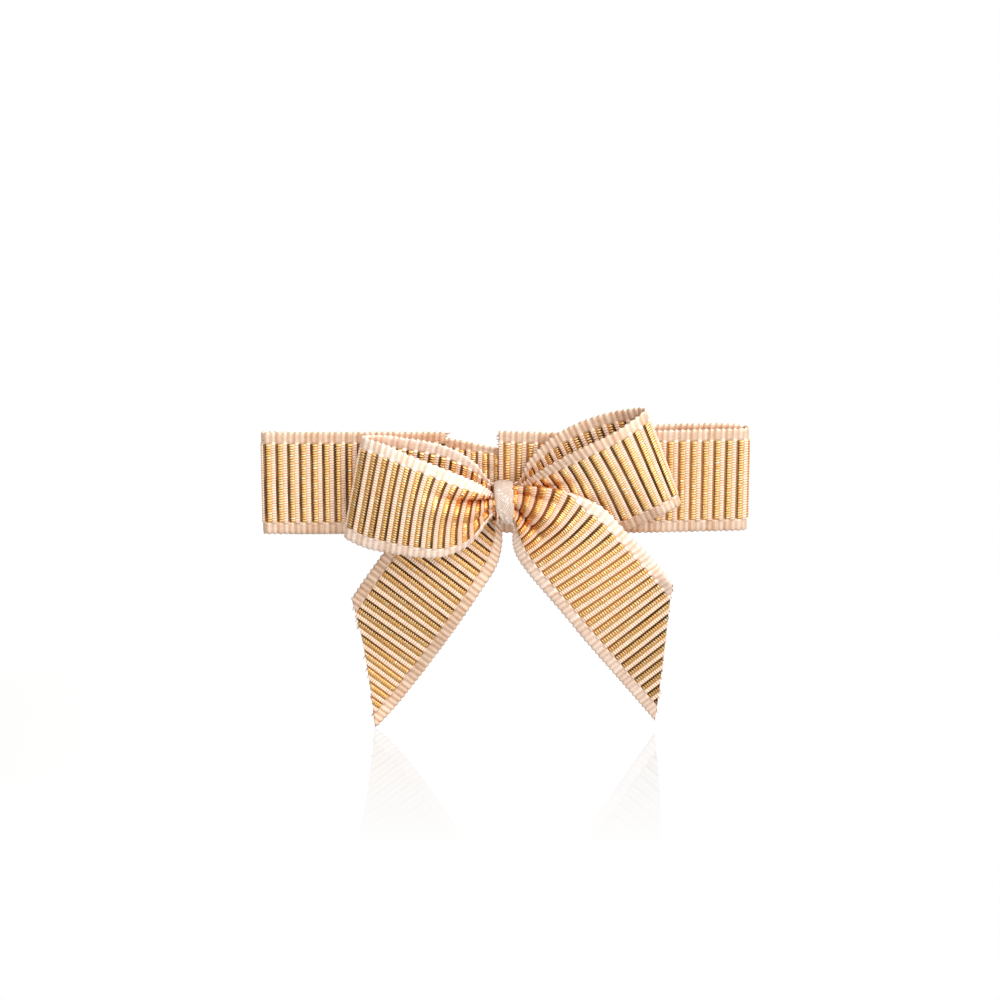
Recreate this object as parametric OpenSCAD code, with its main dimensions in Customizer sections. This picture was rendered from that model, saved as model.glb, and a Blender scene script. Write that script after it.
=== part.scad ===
// Pre-made gift bow: a flat band of ribbed gold ribbon folded in from both ends, with a tied
// bow of the same ribbon on its front, a satin wrap round the bow's waist and a peel-off pad.
// +X right, +Z up, +Y towards the gift. The origin is on the face that meets the gift.

/* [Ribbon] */
// Width of the ribbed ribbon
ribbon_w = 25; // [22:0.5:26]
// Thickness of the ribbed ribbon
ribbon_t = 0.7; // [0.5:0.05:0.8]
// Width of the plain selvedge along each edge
selvedge_w = 2.8; // [2:0.1:4]
// Distance from one gold rib to the next
rib_pitch = 2.8; // [2.2:0.1:4]
// Width of one gold rib
rib_w = 1.6; // [1:0.1:2]
// How far a gold rib stands out of the ribbon's face
rib_proud = 0.15; // [0.1:0.05:0.25]
// Shortest stretch of a gold rib that a slanting cut leaves, as a share of the width
shortest_rib = 0.15; // [0.1:0.01:0.3]

/* [Band] */
// Length of the folded band from fold to fold
band_l = 117.5; // [110:0.5:125]
// Cut end of the band's left front layer, left of the centre
left_end_x = 14.25; // [12:0.25:18]
// Cut end of the band's right front layer, left of the centre
right_end_x = 1.5; // [1:0.25:4]
// Radius of the left fold, which is pressed nearly flat
left_fold_r = 0.75; // [0.7:0.05:1]
// Radius of the right fold, which stands a little open
right_fold_r = 1.6; // [1.2:0.1:1.8]
// Height that the gathered middle of the back layer loses at each edge
waist_dip = 5; // [3:0.5:6]

/* [Bow] */
// Reach of the left loop from the centre
left_loop_reach = 38.4; // [36:0.2:41]
// Reach of the right loop from the centre
right_loop_reach = 42; // [39:0.2:44]
// Drop of the left tail's tip below the centre
left_tail_drop = 60; // [55:0.5:65]
// Drop of the right tail's tip below the centre
right_tail_drop = 60; // [55:0.5:65]

/* [Centre wrap] */
// Width of the satin ribbon round the waist
wrap_w = 5; // [4.5:0.1:5.4]
// Thickness of the satin ribbon
wrap_t = 0.45; // [0.3:0.05:0.5]
// Height of the wrap
wrap_h = 10.9; // [10.5:0.1:12]
// Depth of the wrap
wrap_d = 8; // [7.5:0.1:8.5]
// Diameter of the binding thread
thread_d = 0.4; // [0.3:0.05:0.5]

/* [Pad] */
// Length of the adhesive pad
pad_l = 30; // [20:1:36]
// Height of the adhesive pad
pad_h = 12; // [8:1:13]
// Thickness of the foam
pad_t = 1; // [0.8:0.1:1]
// Thickness of the release liner
liner_t = 0.1; // [0.1:0.05:0.2]

/* [Hidden] */
$fn = 48;

cream = [0.93, 0.78, 0.65];
gold = [0.80, 0.61, 0.30];
satin = [0.96, 0.88, 0.81];

liner_y = -liner_t;
pad_y = liner_y - pad_t;
back_mid_y = pad_y - ribbon_t / 2;
back_face_y = pad_y - ribbon_t;

end_gap = 0.3;
stitch_gap = 0.65;
half_l = band_l / 2;
left_end_y = back_face_y - end_gap - ribbon_t / 2;
left_turn_x = -(half_l - ribbon_t / 2 - left_fold_r);
left_turn_y = back_mid_y - 2 * left_fold_r;
right_end_y = back_face_y - stitch_gap - ribbon_t / 2;
right_turn_x = half_l - ribbon_t / 2 - right_fold_r;
right_turn_y = back_mid_y - 2 * right_fold_r;

wrap_x = -0.1;
wrap_back_y = -4.4;
wrap_mid_y = wrap_back_y - wrap_d / 2;
wrap_top_z = 1.8;
wrap_mid_z = wrap_top_z - wrap_h / 2;
waist_inset = wrap_t + thread_d;

// Each station across a ribbon: low edge x, z, high edge x, z, then the depth at the low
// edge, at the middle and at the high edge. A loop runs from its back layer to its front.
left_loop_stations = [
  [-3.4, -7.3, -3.4, 1.2, -7.6, -7.4, -7.6],
  [-8.2, -11.8, -7.2, 5.8, -7.6, -7.4, -7.7],
  [-13.5, -13.7, -12.1, 9.1, -7.8, -7.6, -8.0],
  [-20.3, -13.5, -17.7, 11.0, -8.0, -7.8, -8.2],
  [-27.0, -12.6, -23.5, 12.0, -8.2, -8.0, -8.4],
  [-33.6, -11.8, -29.0, 12.9, -8.6, -8.4, -8.8],
  [-38.4, -11.5, -33.8, 13.0, -10.6, -10.4, -10.6],
  [-33.3, -13.7, -28.3, 11.3, -12.4, -12.6, -12.0],
  [-27.2, -14.7, -22.5, 8.8, -13.6, -13.8, -12.5],
  [-21.1, -15.5, -16.0, 6.2, -14.2, -14.3, -12.6],
  [-14.6, -15.4, -9.6, 3.3, -14.0, -14.2, -12.0],
  [-8.3, -12.8, -5.6, 1, -12.0, -13.2, -11.2],
  [-3.4, -6.8, -3.4, -0.8, -10.2, -10.8, -10.2]
];
right_loop_stations = [
  [3.4, -6.4, 3.3, 1.4, -7.2, -7.0, -7.2],
  [9.2, -7.4, 5.6, 6.1, -7.0, -6.8, -7.2],
  [16.9, -8.4, 9.9, 10.9, -7.0, -6.8, -7.2],
  [24.1, -8.4, 14.8, 14.2, -7.0, -6.8, -7.2],
  [29.9, -6.9, 20.6, 16.8, -7.1, -6.9, -7.3],
  [35.7, -5.0, 27.3, 18.7, -7.6, -7.4, -7.8],
  [42.0, -3.6, 33.2, 19.5, -9.4, -9.3, -9.4],
  [38.0, -5.8, 28.3, 15.9, -10.6, -11.4, -11.8],
  [33.8, -7.9, 23.0, 13.0, -9.9, -11.8, -12.4],
  [28.3, -10.4, 17.7, 10.4, -9.2, -11.5, -12.4],
  [21.1, -10.5, 12.4, 7.3, -8.8, -10.8, -11.6],
  [13.3, -8.8, 7.5, 4.0, -8.7, -10.0, -10.6],
  [3.4, -5.9, 3.4, 0.7, -9.0, -9.0, -9.2]
];
left_tail_stations = [
  [-4.7, -4.9, -2.5, -11.5, -5.4, -5.4, -5.6],
  [-11.4, -4.7, -0.8, -14.5, -5.2, -5.3, -5.6],
  [-19, -7.1, -2.2, -20.1, -5.8, -6, -6.2],
  [-25, -11.5, -6.1, -26.4, -6.8, -7, -7.1],
  [-30.6, -18.7, -11.3, -34.4, -6.8, -7.1, -7.1],
  [-36.6, -27.7, -16.7, -42.4, -5.9, -6.2, -6.2],
  [-41.7, -36, -22.8, -50.9, -5.2, -5.4, -5.4],
  [-47, -43.8, -28.4, -57.8, -5.6, -5.8, -5.9],
  [-52.4, -51.4, -34.6, -63.8, -7.2, -7.3, -7.5]
];
right_tail_stations = [
  [3.7, -9.2, 3.7, 0.9, -10.6, -10.8, -10.8],
  [3.5, -12.6, 9.4, 0.9, -11.2, -12.6, -12.4],
  [4.1, -16, 16.9, -0.5, -12.4, -13.8, -13.2],
  [6.4, -20, 23.5, -3.9, -13.2, -14.3, -13.6],
  [9.7, -24.6, 29.2, -10, -13.8, -14.5, -13.8],
  [14.2, -30, 34.6, -15.7, -13.8, -14.3, -13.7],
  [19.4, -36.8, 39.2, -21.2, -13, -13.5, -13.2],
  [24.9, -43.8, 44.1, -27.6, -11.4, -12, -12.1],
  [30.3, -50.9, 49.8, -34.5, -8.9, -9.8, -10.6],
  [36.9, -59.7, 56.8, -42.5, -5.8, -7, -8.4]
];
// Share of the stations that a tail keeps at its low edge and at its high edge.
left_tail_cut = [0.64, 0.936];
right_tail_cut = [1, 0.69];

rows_per_station = 2;
sheet_columns = 6;

// ---- ribbon shapes ----

function lerp(a, b, f) = a + (b - a) * f;

function unit(a) = a / norm(a);

function clamp(i, n) = max(0, min(n - 1, i));

function through(a, b, c, d, f) =
  b + f / 2 * (c - a + f * (2 * a - 5 * b + 4 * c - d + f * (3 * (b - c) + d - a)));

function station(s, t) =
  let (n = len(s), at = t * (n - 1), i = min(n - 2, floor(at)))
  through(s[clamp(i - 1, n)], s[i], s[i + 1], s[clamp(i + 2, n)], at - i);

function arch(low, mid, high, v) =
  low * (1 - v) * (1 - 2 * v) + 4 * mid * v * (1 - v) + high * v * (2 * v - 1);

function ribbon_point(s, t, v) =
  let (q = station(s, t))
  [lerp(q[0], q[2], v), arch(q[4], q[5], q[6], v), lerp(q[1], q[3], v)];

function facing(s, t, v) =
  let (
    e = 0.01,
    t0 = max(0, t - e), t1 = min(1, t + e),
    v0 = max(0, v - e), v1 = min(1, v + e),
    along = ribbon_point(s, t1, v) - ribbon_point(s, t0, v),
    across = ribbon_point(s, t, v1) - ribbon_point(s, t, v0)
  )
  unit(cross(along, across));

function off_face(s, t, v, h) = ribbon_point(s, t, v) + h * facing(s, t, v);

function run_length(s, n = 60) =
  let (
    points = [for (i = [0:n]) ribbon_point(s, i / n, 0.5)],
    steps = [for (i = [1:n]) norm(points[i] - points[i - 1])]
  )
  steps * [for (i = [1:n]) 1];

// A closed slab between two grids of points with the same rows and columns
module slab(near, far) {
  rows = len(near);
  cols = len(near[0]);
  n = rows * cols;
  points = [for (side = [near, far]) for (row = side) each row];
  rim = concat(
    [for (j = [0:cols - 1]) j],
    [for (i = [1:rows - 1]) i * cols + cols - 1],
    [for (j = [cols - 2:-1:0]) (rows - 1) * cols + j],
    [for (i = [rows - 2:-1:1]) i * cols]
  );
  cells = [for (i = [0:rows - 2]) for (j = [0:cols - 2]) i * cols + j];
  faces = concat(
    [for (a = cells) [a, a + 1, a + cols + 1]],
    [for (a = cells) [a, a + cols + 1, a + cols]],
    [for (a = cells) [n + a, n + a + cols + 1, n + a + 1]],
    [for (a = cells) [n + a, n + a + cols, n + a + cols + 1]],
    [for (k = [0:len(rim) - 1]) let (a = rim[k], b = rim[(k + 1) % len(rim)]) [a, n + a, n + b]],
    [for (k = [0:len(rim) - 1]) let (a = rim[k], b = rim[(k + 1) % len(rim)]) [a, n + b, b]]
  );
  polyhedron(points, faces);
}

// A ribbon of even thickness along its stations, ended by the cut
module ribbon(s, cut = [1, 1]) {
  rows = (len(s) - 1) * rows_per_station;
  grid = function(h) [
    for (i = [0:rows]) [
      for (j = [0:sheet_columns])
        let (v = j / sheet_columns) off_face(s, i / rows * lerp(cut[0], cut[1], v), v, h)
    ]
  ];
  slab(grid(-ribbon_t / 2), grid(ribbon_t / 2));
}

// The gold ribs on a ribbon's outer face, from selvedge to selvedge or as far as the cut
module gold_ribs(s, outer = 1, cut = [1, 1], first = 1) {
  length = run_length(s);
  count = floor(length / rib_pitch) - 1;
  half = rib_w / 2 / length;
  margin = selvedge_w / ribbon_w;
  steps = 4;
  for (k = [first:count]) {
    t = k / (count + 1);
    slope = cut[1] - cut[0];
    kept = function(v) lerp(cut[0], cut[1], v) - t - 1.5 * half;
    meets = slope == 0 ? 0 : (t + 1.5 * half - cut[0]) / slope;
    v0 = kept(margin) >= 0 ? margin : meets;
    v1 = kept(1 - margin) >= 0 ? 1 - margin : meets;
    if (max(kept(margin), kept(1 - margin)) > 0 && v1 - v0 > shortest_rib) {
      row = function(t, h) [for (j = [0:steps]) off_face(s, t, lerp(v0, v1, j / steps), h)];
      low = outer * (ribbon_t / 2 - 0.05);
      high = outer * (ribbon_t / 2 + rib_proud);
      near = [row(t - half, min(low, high)), row(t + half, min(low, high))];
      far = [row(t - half, max(low, high)), row(t + half, max(low, high))];
      slab(near, far);
    }
  }
}

function stretch(s, kx, kz = 1) = [
  for (q = s) [q[0] * kx, q[1] * kz, q[2] * kx, q[3] * kz, q[4], q[5], q[6]]
];

left_loop_s = stretch(left_loop_stations, left_loop_reach / 38.4);
right_loop_s = stretch(right_loop_stations, right_loop_reach / 42);
left_tail_s = stretch(left_tail_stations, 1, left_tail_drop / 60);
right_tail_s = stretch(right_tail_stations, 1, right_tail_drop / 60);

// ---- band ----

// Plan of a strip of ribbon along a path of points
module strip(path) {
  n = len(path);
  way = function(i) unit(path[min(i + 1, n - 1)] - path[max(i - 1, 0)]);
  side = function(i, h) path[i] + h * [-way(i)[1], way(i)[0]];
  polygon(concat(
    [for (i = [0:n - 1]) side(i, ribbon_t / 2)],
    [for (i = [n - 1:-1:0]) side(i, -ribbon_t / 2)]
  ));
}

function turn(x, y, r, from, to, n = 12) = [
  for (i = [0:n]) let (a = lerp(from, to, i / n)) [x + r * cos(a), y + r * sin(a)]
];

// Outline of the gathers taken out of the back layer's edge at the middle
module gather_outline() {
  reach = 24;
  n = 24;
  polygon(concat(
    [for (i = [0:n]) let (x = lerp(-reach, reach, i / n))
      [x, ribbon_w / 2 - waist_dip * pow(1 - abs(x) / reach, 1.3)]],
    [[reach, ribbon_w], [-reach, ribbon_w]]
  ));
}

module backing_ribbon() {
  path = concat(
    [[-left_end_x, left_end_y]],
    turn(left_turn_x, back_mid_y - left_fold_r, left_fold_r, -90, -270),
    turn(right_turn_x, back_mid_y - right_fold_r, right_fold_r, 90, -90),
    [[-right_end_x, right_end_y]]
  );
  color(cream)
    difference() {
      translate([0, 0, -ribbon_w / 2]) linear_extrude(height = ribbon_w) strip(path);
      for (flip = [0, 1])
        mirror([0, 0, flip])
          translate([0, back_face_y + ribbon_t + 0.1, 0])
            rotate([90, 0, 0])
              linear_extrude(height = ribbon_t + 0.2) gather_outline();
    }
}

// One row of straight gold ribs along the line from a to b in plan
module rib_row(a, b, half_h) {
  span = norm(b - a);
  count = floor(span / rib_pitch);
  translate([a[0], a[1], 0])
    rotate([0, 0, atan2(b[1] - a[1], b[0] - a[0])])
      for (k = [0:count - 1])
        translate([(k + 0.5) * rib_pitch - rib_w / 2, 0, -half_h])
          cube([rib_w, rib_proud, 2 * half_h]);
}

module backing_gold_ribs() {
  half_h = ribbon_w / 2 - selvedge_w;
  lift = ribbon_t / 2;
  color(gold) {
    rib_row([-left_end_x, left_end_y - lift], [left_turn_x, left_turn_y - lift], half_h);
    rib_row([right_turn_x, right_turn_y - lift], [-right_end_x, right_end_y - lift], half_h);
    for (k = [0:3])
      translate([-right_end_x - 1.2 - (k + 0.5) * rib_pitch, back_face_y - rib_proud, -5])
        cube([rib_w, rib_proud, 10]);
  }
}

module gather_stitch() {
  reach = ribbon_w / 2 - waist_dip - 1;
  color(satin)
    translate([0, back_face_y - thread_d / 2, -reach]) {
      cylinder(h = 2 * reach, d = thread_d);
      for (z = [0, 2 * reach]) translate([0, 0, z]) sphere(d = thread_d * 1.2);
    }
}

module end_glue(x, gap) {
  color([0.96, 0.93, 0.84])
    translate([x, back_face_y, 0]) rotate([90, 0, 0]) cylinder(h = gap, r = 3);
}

module left_end_glue() { end_glue(-left_end_x - 4, end_gap); }

module right_end_glue() { end_glue(5, stitch_gap); }

module adhesive_pad() {
  color([0.97, 0.97, 0.95])
    translate([-pad_l / 2, pad_y, -pad_h / 2]) cube([pad_l, pad_t, pad_h]);
}

module release_liner() {
  color([0.80, 0.88, 0.93])
    translate([-pad_l / 2, liner_y, -pad_h / 2]) cube([pad_l, liner_t, pad_h]);
}

// ---- waist of the bow ----

// Upright rounded section of the waist, grown or shrunk all round
module waist_section(grow) {
  r = wrap_d / 2 + grow;
  straight = wrap_h - wrap_d;
  for (z = [-straight / 2, straight / 2]) translate([0, z]) circle(r = r);
  translate([-r, -straight / 2]) square([2 * r, straight]);
}

module waist_slice(width) {
  translate([wrap_x - width / 2, wrap_mid_y, wrap_mid_z])
    rotate([90, 0, 90]) linear_extrude(height = width) children();
}

module bow_waist() {
  color(gold) waist_slice(wrap_w) waist_section(-waist_inset);
}

module binding_thread() {
  turns = 4;
  color(satin)
    for (k = [0:turns - 1])
      translate([(k - (turns - 1) / 2) * 1.1, 0, 0])
        waist_slice(thread_d)
          difference() {
            waist_section(-wrap_t);
            waist_section(-waist_inset);
          }
}

module centre_wrap() {
  color(satin)
    waist_slice(wrap_w)
      difference() {
        waist_section(0);
        waist_section(-wrap_t);
      }
}

module bow_glue() {
  slope = (right_turn_y - right_end_y) / (right_turn_x + right_end_x);
  face_y = right_end_y - ribbon_t / 2 + slope * right_end_x;
  color([0.96, 0.93, 0.84])
    translate([wrap_x, face_y + 0.02, wrap_mid_z])
      rotate([90, 0, 0]) cylinder(h = face_y + 0.02 - wrap_back_y, r = 1.5);
}

// ---- loops and tails ----

module left_loop() { color(cream) ribbon(left_loop_s); }

module left_loop_gold_ribs() { color(gold) gold_ribs(left_loop_s); }

module right_loop() { color(cream) ribbon(right_loop_s); }

module right_loop_gold_ribs() { color(gold) gold_ribs(right_loop_s, outer = -1); }

module left_tail() { color(cream) ribbon(left_tail_s, left_tail_cut); }

module left_tail_gold_ribs() {
  color(gold) gold_ribs(left_tail_s, cut = left_tail_cut, first = 2);
}

module right_tail() { color(cream) ribbon(right_tail_s, right_tail_cut); }

module right_tail_gold_ribs() {
  color(gold) gold_ribs(right_tail_s, cut = right_tail_cut, first = 2);
}

backing_ribbon();
backing_gold_ribs();
gather_stitch();
left_end_glue();
right_end_glue();
adhesive_pad();
release_liner();
bow_glue();
bow_waist();
binding_thread();
centre_wrap();
left_loop();
left_loop_gold_ribs();
right_loop();
right_loop_gold_ribs();
left_tail();
left_tail_gold_ribs();
right_tail();
right_tail_gold_ribs();
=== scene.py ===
import math
import random

import bpy
import numpy as np
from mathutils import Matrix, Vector


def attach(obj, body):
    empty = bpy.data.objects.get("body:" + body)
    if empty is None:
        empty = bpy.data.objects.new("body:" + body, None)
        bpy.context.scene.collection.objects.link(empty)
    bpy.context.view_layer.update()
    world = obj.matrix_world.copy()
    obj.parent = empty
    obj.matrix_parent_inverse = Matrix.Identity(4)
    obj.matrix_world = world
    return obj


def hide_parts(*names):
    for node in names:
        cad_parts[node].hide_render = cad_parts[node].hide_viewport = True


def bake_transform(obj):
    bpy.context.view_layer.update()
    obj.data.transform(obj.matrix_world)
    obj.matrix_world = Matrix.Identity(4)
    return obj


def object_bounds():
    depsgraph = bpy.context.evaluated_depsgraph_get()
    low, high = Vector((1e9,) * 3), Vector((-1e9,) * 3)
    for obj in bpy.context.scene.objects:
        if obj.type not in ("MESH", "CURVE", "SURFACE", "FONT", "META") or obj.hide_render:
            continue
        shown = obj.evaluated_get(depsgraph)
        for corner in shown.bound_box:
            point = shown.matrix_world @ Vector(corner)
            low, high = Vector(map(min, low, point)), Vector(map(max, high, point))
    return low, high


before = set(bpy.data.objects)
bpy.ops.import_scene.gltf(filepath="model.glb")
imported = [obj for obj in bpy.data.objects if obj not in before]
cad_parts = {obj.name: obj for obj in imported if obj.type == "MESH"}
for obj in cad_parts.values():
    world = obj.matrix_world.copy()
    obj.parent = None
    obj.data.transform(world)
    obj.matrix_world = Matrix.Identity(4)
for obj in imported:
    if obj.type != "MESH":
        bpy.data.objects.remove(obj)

CAD_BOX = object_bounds()
MM = 0.001

# ---- sizes of the ribbon, in millimetres ----

RIBBON_W = 25.0
# Width of the smooth edge on each side, and how quickly the ribbed field turns into it.
SELVEDGE = 2.8
FIELD_FADE = 0.15
# Length of ribbon that one cord and one gold rib take.
PITCH = 2.8
# Columns of mesh across the field. Two columns are one bead of a cord or one wind of a rib.
FIELD_STEPS = 62
TICK = 2 * (RIBBON_W - 2 * SELVEDGE) / FIELD_STEPS
# Share by which the beads and the winds swell.
CORD_LIFT = 0.12
RIB_LIFT = 0.17
# How far the edge's small loops stand out, and how far in that reaches.
PICOT = 0.32
PICOT_REACH = 0.8
# The ribbon thins to this share over this width at its rim.
RIM_THIN, RIM_WIDTH = 0.45, 0.5
# A gold rib runs on under the selvedge, thins towards its ends, stops short of a cut, and is
# left out where a cut leaves less than the shortest.
RIB_END_LAP = 0.12
RIB_END_THIN, RIB_END_WIDTH = 0.4, 0.35
RIB_END_GAP = 0.1
SHORTEST_RIB = 0.15
# Loose yarn ends at a cut: how many, their radius, how far in they start, the shortest, and how
# much longer the longest may be. They are short near the floor.
FRAYS = 62
FRAY_RADIUS, FRAY_ROOT = 0.13, 0.3
FRAY_SHORTEST, FRAY_LONGER = 0.35, 1.2
FRAY_LOWEST_Z, FRAY_AT_FLOOR = -60.0, 0.25

# Half thickness of the ribbon along one pitch, as share of the pitch and millimetres: a cord
# in the ribbed field, its end in the selvedge, and a gold rib.
CORD = [(0.0, 0.31), (0.04, 0.36), (0.11, 0.41), (0.2, 0.43), (0.29, 0.4), (0.36, 0.32),
        (0.39, 0.2), (0.41, 0.09), (0.97, 0.09)]
EDGE = [(0.0, 0.19), (0.09, 0.22), (0.18, 0.235), (0.27, 0.22), (0.36, 0.2), (0.43, 0.19),
        (0.5, 0.2), (0.6, 0.22), (0.69, 0.235), (0.78, 0.22), (0.985, 0.19)]
RIB = [(0.53, 0.05), (0.535, 0.24), (0.56, 0.36), (0.62, 0.43), (0.72, 0.46), (0.83, 0.45),
       (0.92, 0.41), (0.985, 0.35), (1.01, 0.24)]
# Where the ground has more rows of mesh, for the selvedge's bead beside a gold rib.
EDGE_BEAD = {0.6, 0.69, 0.78}

# How far every second wind of a gold rib reaches over its side that is painted dark as shade, by
# share of the pitch.
TOOTH = [(0.53, 0.56, 0.62, 0.72), (0.045, 0.035, 0.015, 0.0)]

# ---- places of the bow, in millimetres ----

# Each station: low edge x, z, high edge x, z, depth at the low edge, the middle and the high
# edge, then how far the middle of a rib lags along the ribbon, in x and in z, before LAG_SCALE.
LEFT_LOOP = [
    (-0.4, -6.2, -0.4, 0.4, -7.4, -7.2, -7.4, 0, 0),
    (-3.4, -7.3, -3.4, 1.2, -7.6, -7.4, -7.6, 0, 0),
    (-8.2, -11.8, -7.2, 5.8, -7.6, -7.2, -7.7, -1.5, 0),
    (-13.5, -13.7, -12.1, 9.1, -7.8, -7.4, -8.0, -1.5, 0),
    (-20.3, -13.5, -17.7, 11.0, -8.0, -7.6, -8.2, -1.0, 0),
    (-27.0, -12.6, -23.5, 12.0, -8.2, -7.8, -8.4, -0.5, 0),
    (-33.6, -11.8, -29.0, 12.9, -8.6, -8.4, -8.8, 0, 0),
    (-38.4, -11.5, -33.8, 13.0, -10.6, -10.4, -10.6, 0, 0),
    (-33.3, -13.7, -28.3, 11.3, -12.4, -12.6, -12.0, -0.2, 0),
    (-27.2, -14.7, -22.5, 8.8, -13.6, -13.8, -12.5, -0.8, 0),
    (-21.1, -15.5, -16.0, 6.2, -14.2, -14.3, -12.6, -1.8, 0),
    (-14.6, -15.4, -9.4, 3.3, -14.0, -14.2, -12.0, -3.0, 0),
    (-8.3, -12.8, -5.0, 0.9, -12.0, -13.2, -11.2, -2.6, 0),
    (-3.2, -6.6, -2.8, -1.0, -10.2, -10.8, -10.2, -0.8, 0),
    (-0.4, -5.6, -0.4, -1.4, -10.0, -10.2, -10.0, 0, 0),
]
RIGHT_LOOP = [
    (0.3, -5.4, 0.3, 0.6, -7.2, -7.0, -7.2, 0, 0),
    (3.4, -6.4, 3.3, 1.4, -7.2, -7.0, -7.2, 0, 0),
    (9.2, -7.4, 5.6, 6.1, -7.0, -6.8, -7.2, 1.5, 0),
    (16.9, -8.4, 9.9, 10.9, -7.0, -6.8, -7.2, 1.5, 0),
    (24.1, -8.4, 14.8, 14.2, -7.0, -6.8, -7.2, 1.0, 0),
    (29.9, -6.9, 20.6, 16.8, -7.1, -6.9, -7.3, 0.5, 0),
    (35.7, -5.0, 27.3, 18.7, -7.6, -7.4, -7.8, 0, 0),
    (42.0, -3.6, 33.2, 19.5, -9.4, -9.3, -9.4, 0, 0),
    (38.0, -5.8, 28.3, 15.9, -10.6, -11.4, -11.8, 0, 0),
    (33.8, -7.9, 23.0, 13.0, -9.9, -11.8, -12.4, 0.4, 0.2),
    (28.3, -10.4, 17.7, 10.4, -9.2, -11.5, -12.4, 1.0, 0.5),
    (21.1, -10.5, 12.4, 7.3, -8.8, -10.8, -11.6, 1.8, 0.8),
    (13.3, -8.8, 7.5, 4.0, -8.7, -10.0, -10.6, 2.0, 0.6),
    (3.4, -5.9, 3.4, 0.7, -9.0, -9.0, -9.2, 0.5, 0),
    (0.3, -5.2, 0.3, -0.2, -9.0, -9.0, -9.0, 0, 0),
]
LEFT_TAIL = [
    (-0.6, -3.8, 0.4, -8.0, -6.6, -6.4, -6.6, 0, 0),
    (-4.9, -4.9, -0.9, -9.6, -5.4, -5.4, -5.6, 0, 0),
    (-11.4, -4.7, -0.8, -14.5, -5.2, -5.3, -5.6, 0, 0),
    (-19.0, -7.1, -2.2, -20.1, -5.8, -6.0, -6.2, 0, 0),
    (-25.0, -11.5, -6.1, -26.4, -6.8, -7.0, -7.1, 0, 0),
    (-30.6, -18.7, -11.3, -34.4, -6.8, -7.1, -7.1, 0, 0),
    (-36.6, -27.7, -16.7, -42.4, -5.9, -6.2, -6.2, 0, 0),
    (-41.7, -36.0, -22.8, -50.9, -5.2, -5.4, -5.4, 0, 0),
    (-47.0, -43.8, -28.4, -57.8, -5.6, -5.8, -5.9, 0, 0),
    (-52.4, -51.4, -34.6, -63.8, -7.2, -7.3, -7.5, 0, 0),
]
RIGHT_TAIL = [
    (0.3, -8.2, 0.3, 0.2, -10.8, -11.0, -10.8, 0, 0),
    (2.0, -8.9, 3.2, 0.7, -10.6, -10.8, -10.8, 0.5, 0),
    (1.9, -12.6, 9.4, 0.9, -11.2, -12.6, -12.4, 1.6, -1.4),
    (3.0, -16.0, 16.9, -0.5, -12.4, -13.8, -13.2, 1.6, -1.7),
    (5.8, -20.0, 23.5, -3.9, -13.2, -14.3, -13.6, 1.0, -1.1),
    (9.7, -24.6, 29.2, -10.0, -13.8, -14.5, -13.8, 0.4, -0.4),
    (14.2, -30.0, 34.6, -15.7, -13.8, -14.3, -13.7, 0, 0),
    (19.4, -36.8, 39.2, -21.2, -13.0, -13.5, -13.2, 0, 0),
    (24.9, -43.8, 44.1, -27.6, -11.4, -12.0, -12.1, 0, 0),
    (30.3, -50.9, 49.8, -34.5, -8.9, -9.8, -10.6, 0, 0),
    (36.9, -59.7, 56.8, -42.5, -5.8, -7.0, -8.4, 0, 0),
]
# Share of the stations that a tail keeps at its low edge and at its high edge.
LEFT_CUT = (0.678, 0.945)
RIGHT_CUT = (1.0, 0.72)


# ---- ribbon shapes ----


def spline(rows, t):
    """The smooth curve through rows of numbers, at shares t of its length."""
    rows = np.asarray(rows, float)
    n = len(rows)
    at = np.clip(t, 0, 1) * (n - 1)
    i = np.minimum(at.astype(int), n - 2)
    f = (at - i)[..., None]
    a, b, c, d = (rows[np.clip(i + k, 0, n - 1)] for k in (-1, 0, 1, 2))
    return b + f / 2 * (c - a + f * (2 * a - 5 * b + 4 * c - d + f * (3 * (b - c) + d - a)))


def arch(low, mid, high, v):
    """The parabola through three values across the ribbon, at shares v of its width."""
    return low * (1 - v) * (1 - 2 * v) + 4 * mid * v * (1 - v) + high * v * (2 * v - 1)


# Times v ** 1.25 * (1 - v) ** 0.85, the share of a station's lag that a rib has at v.
LAG_SCALE = 2.05 * 7 / 6
# The edge that is folded behind: how it runs out along t, and how it turns back across v.
TUCK_FADE = 0.14
TUCK_ROUND = 0.05
TUCK_DEPTH = 0.9
TUCK_BACK, TUCK_DROP = 0.35, 0.75


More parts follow.
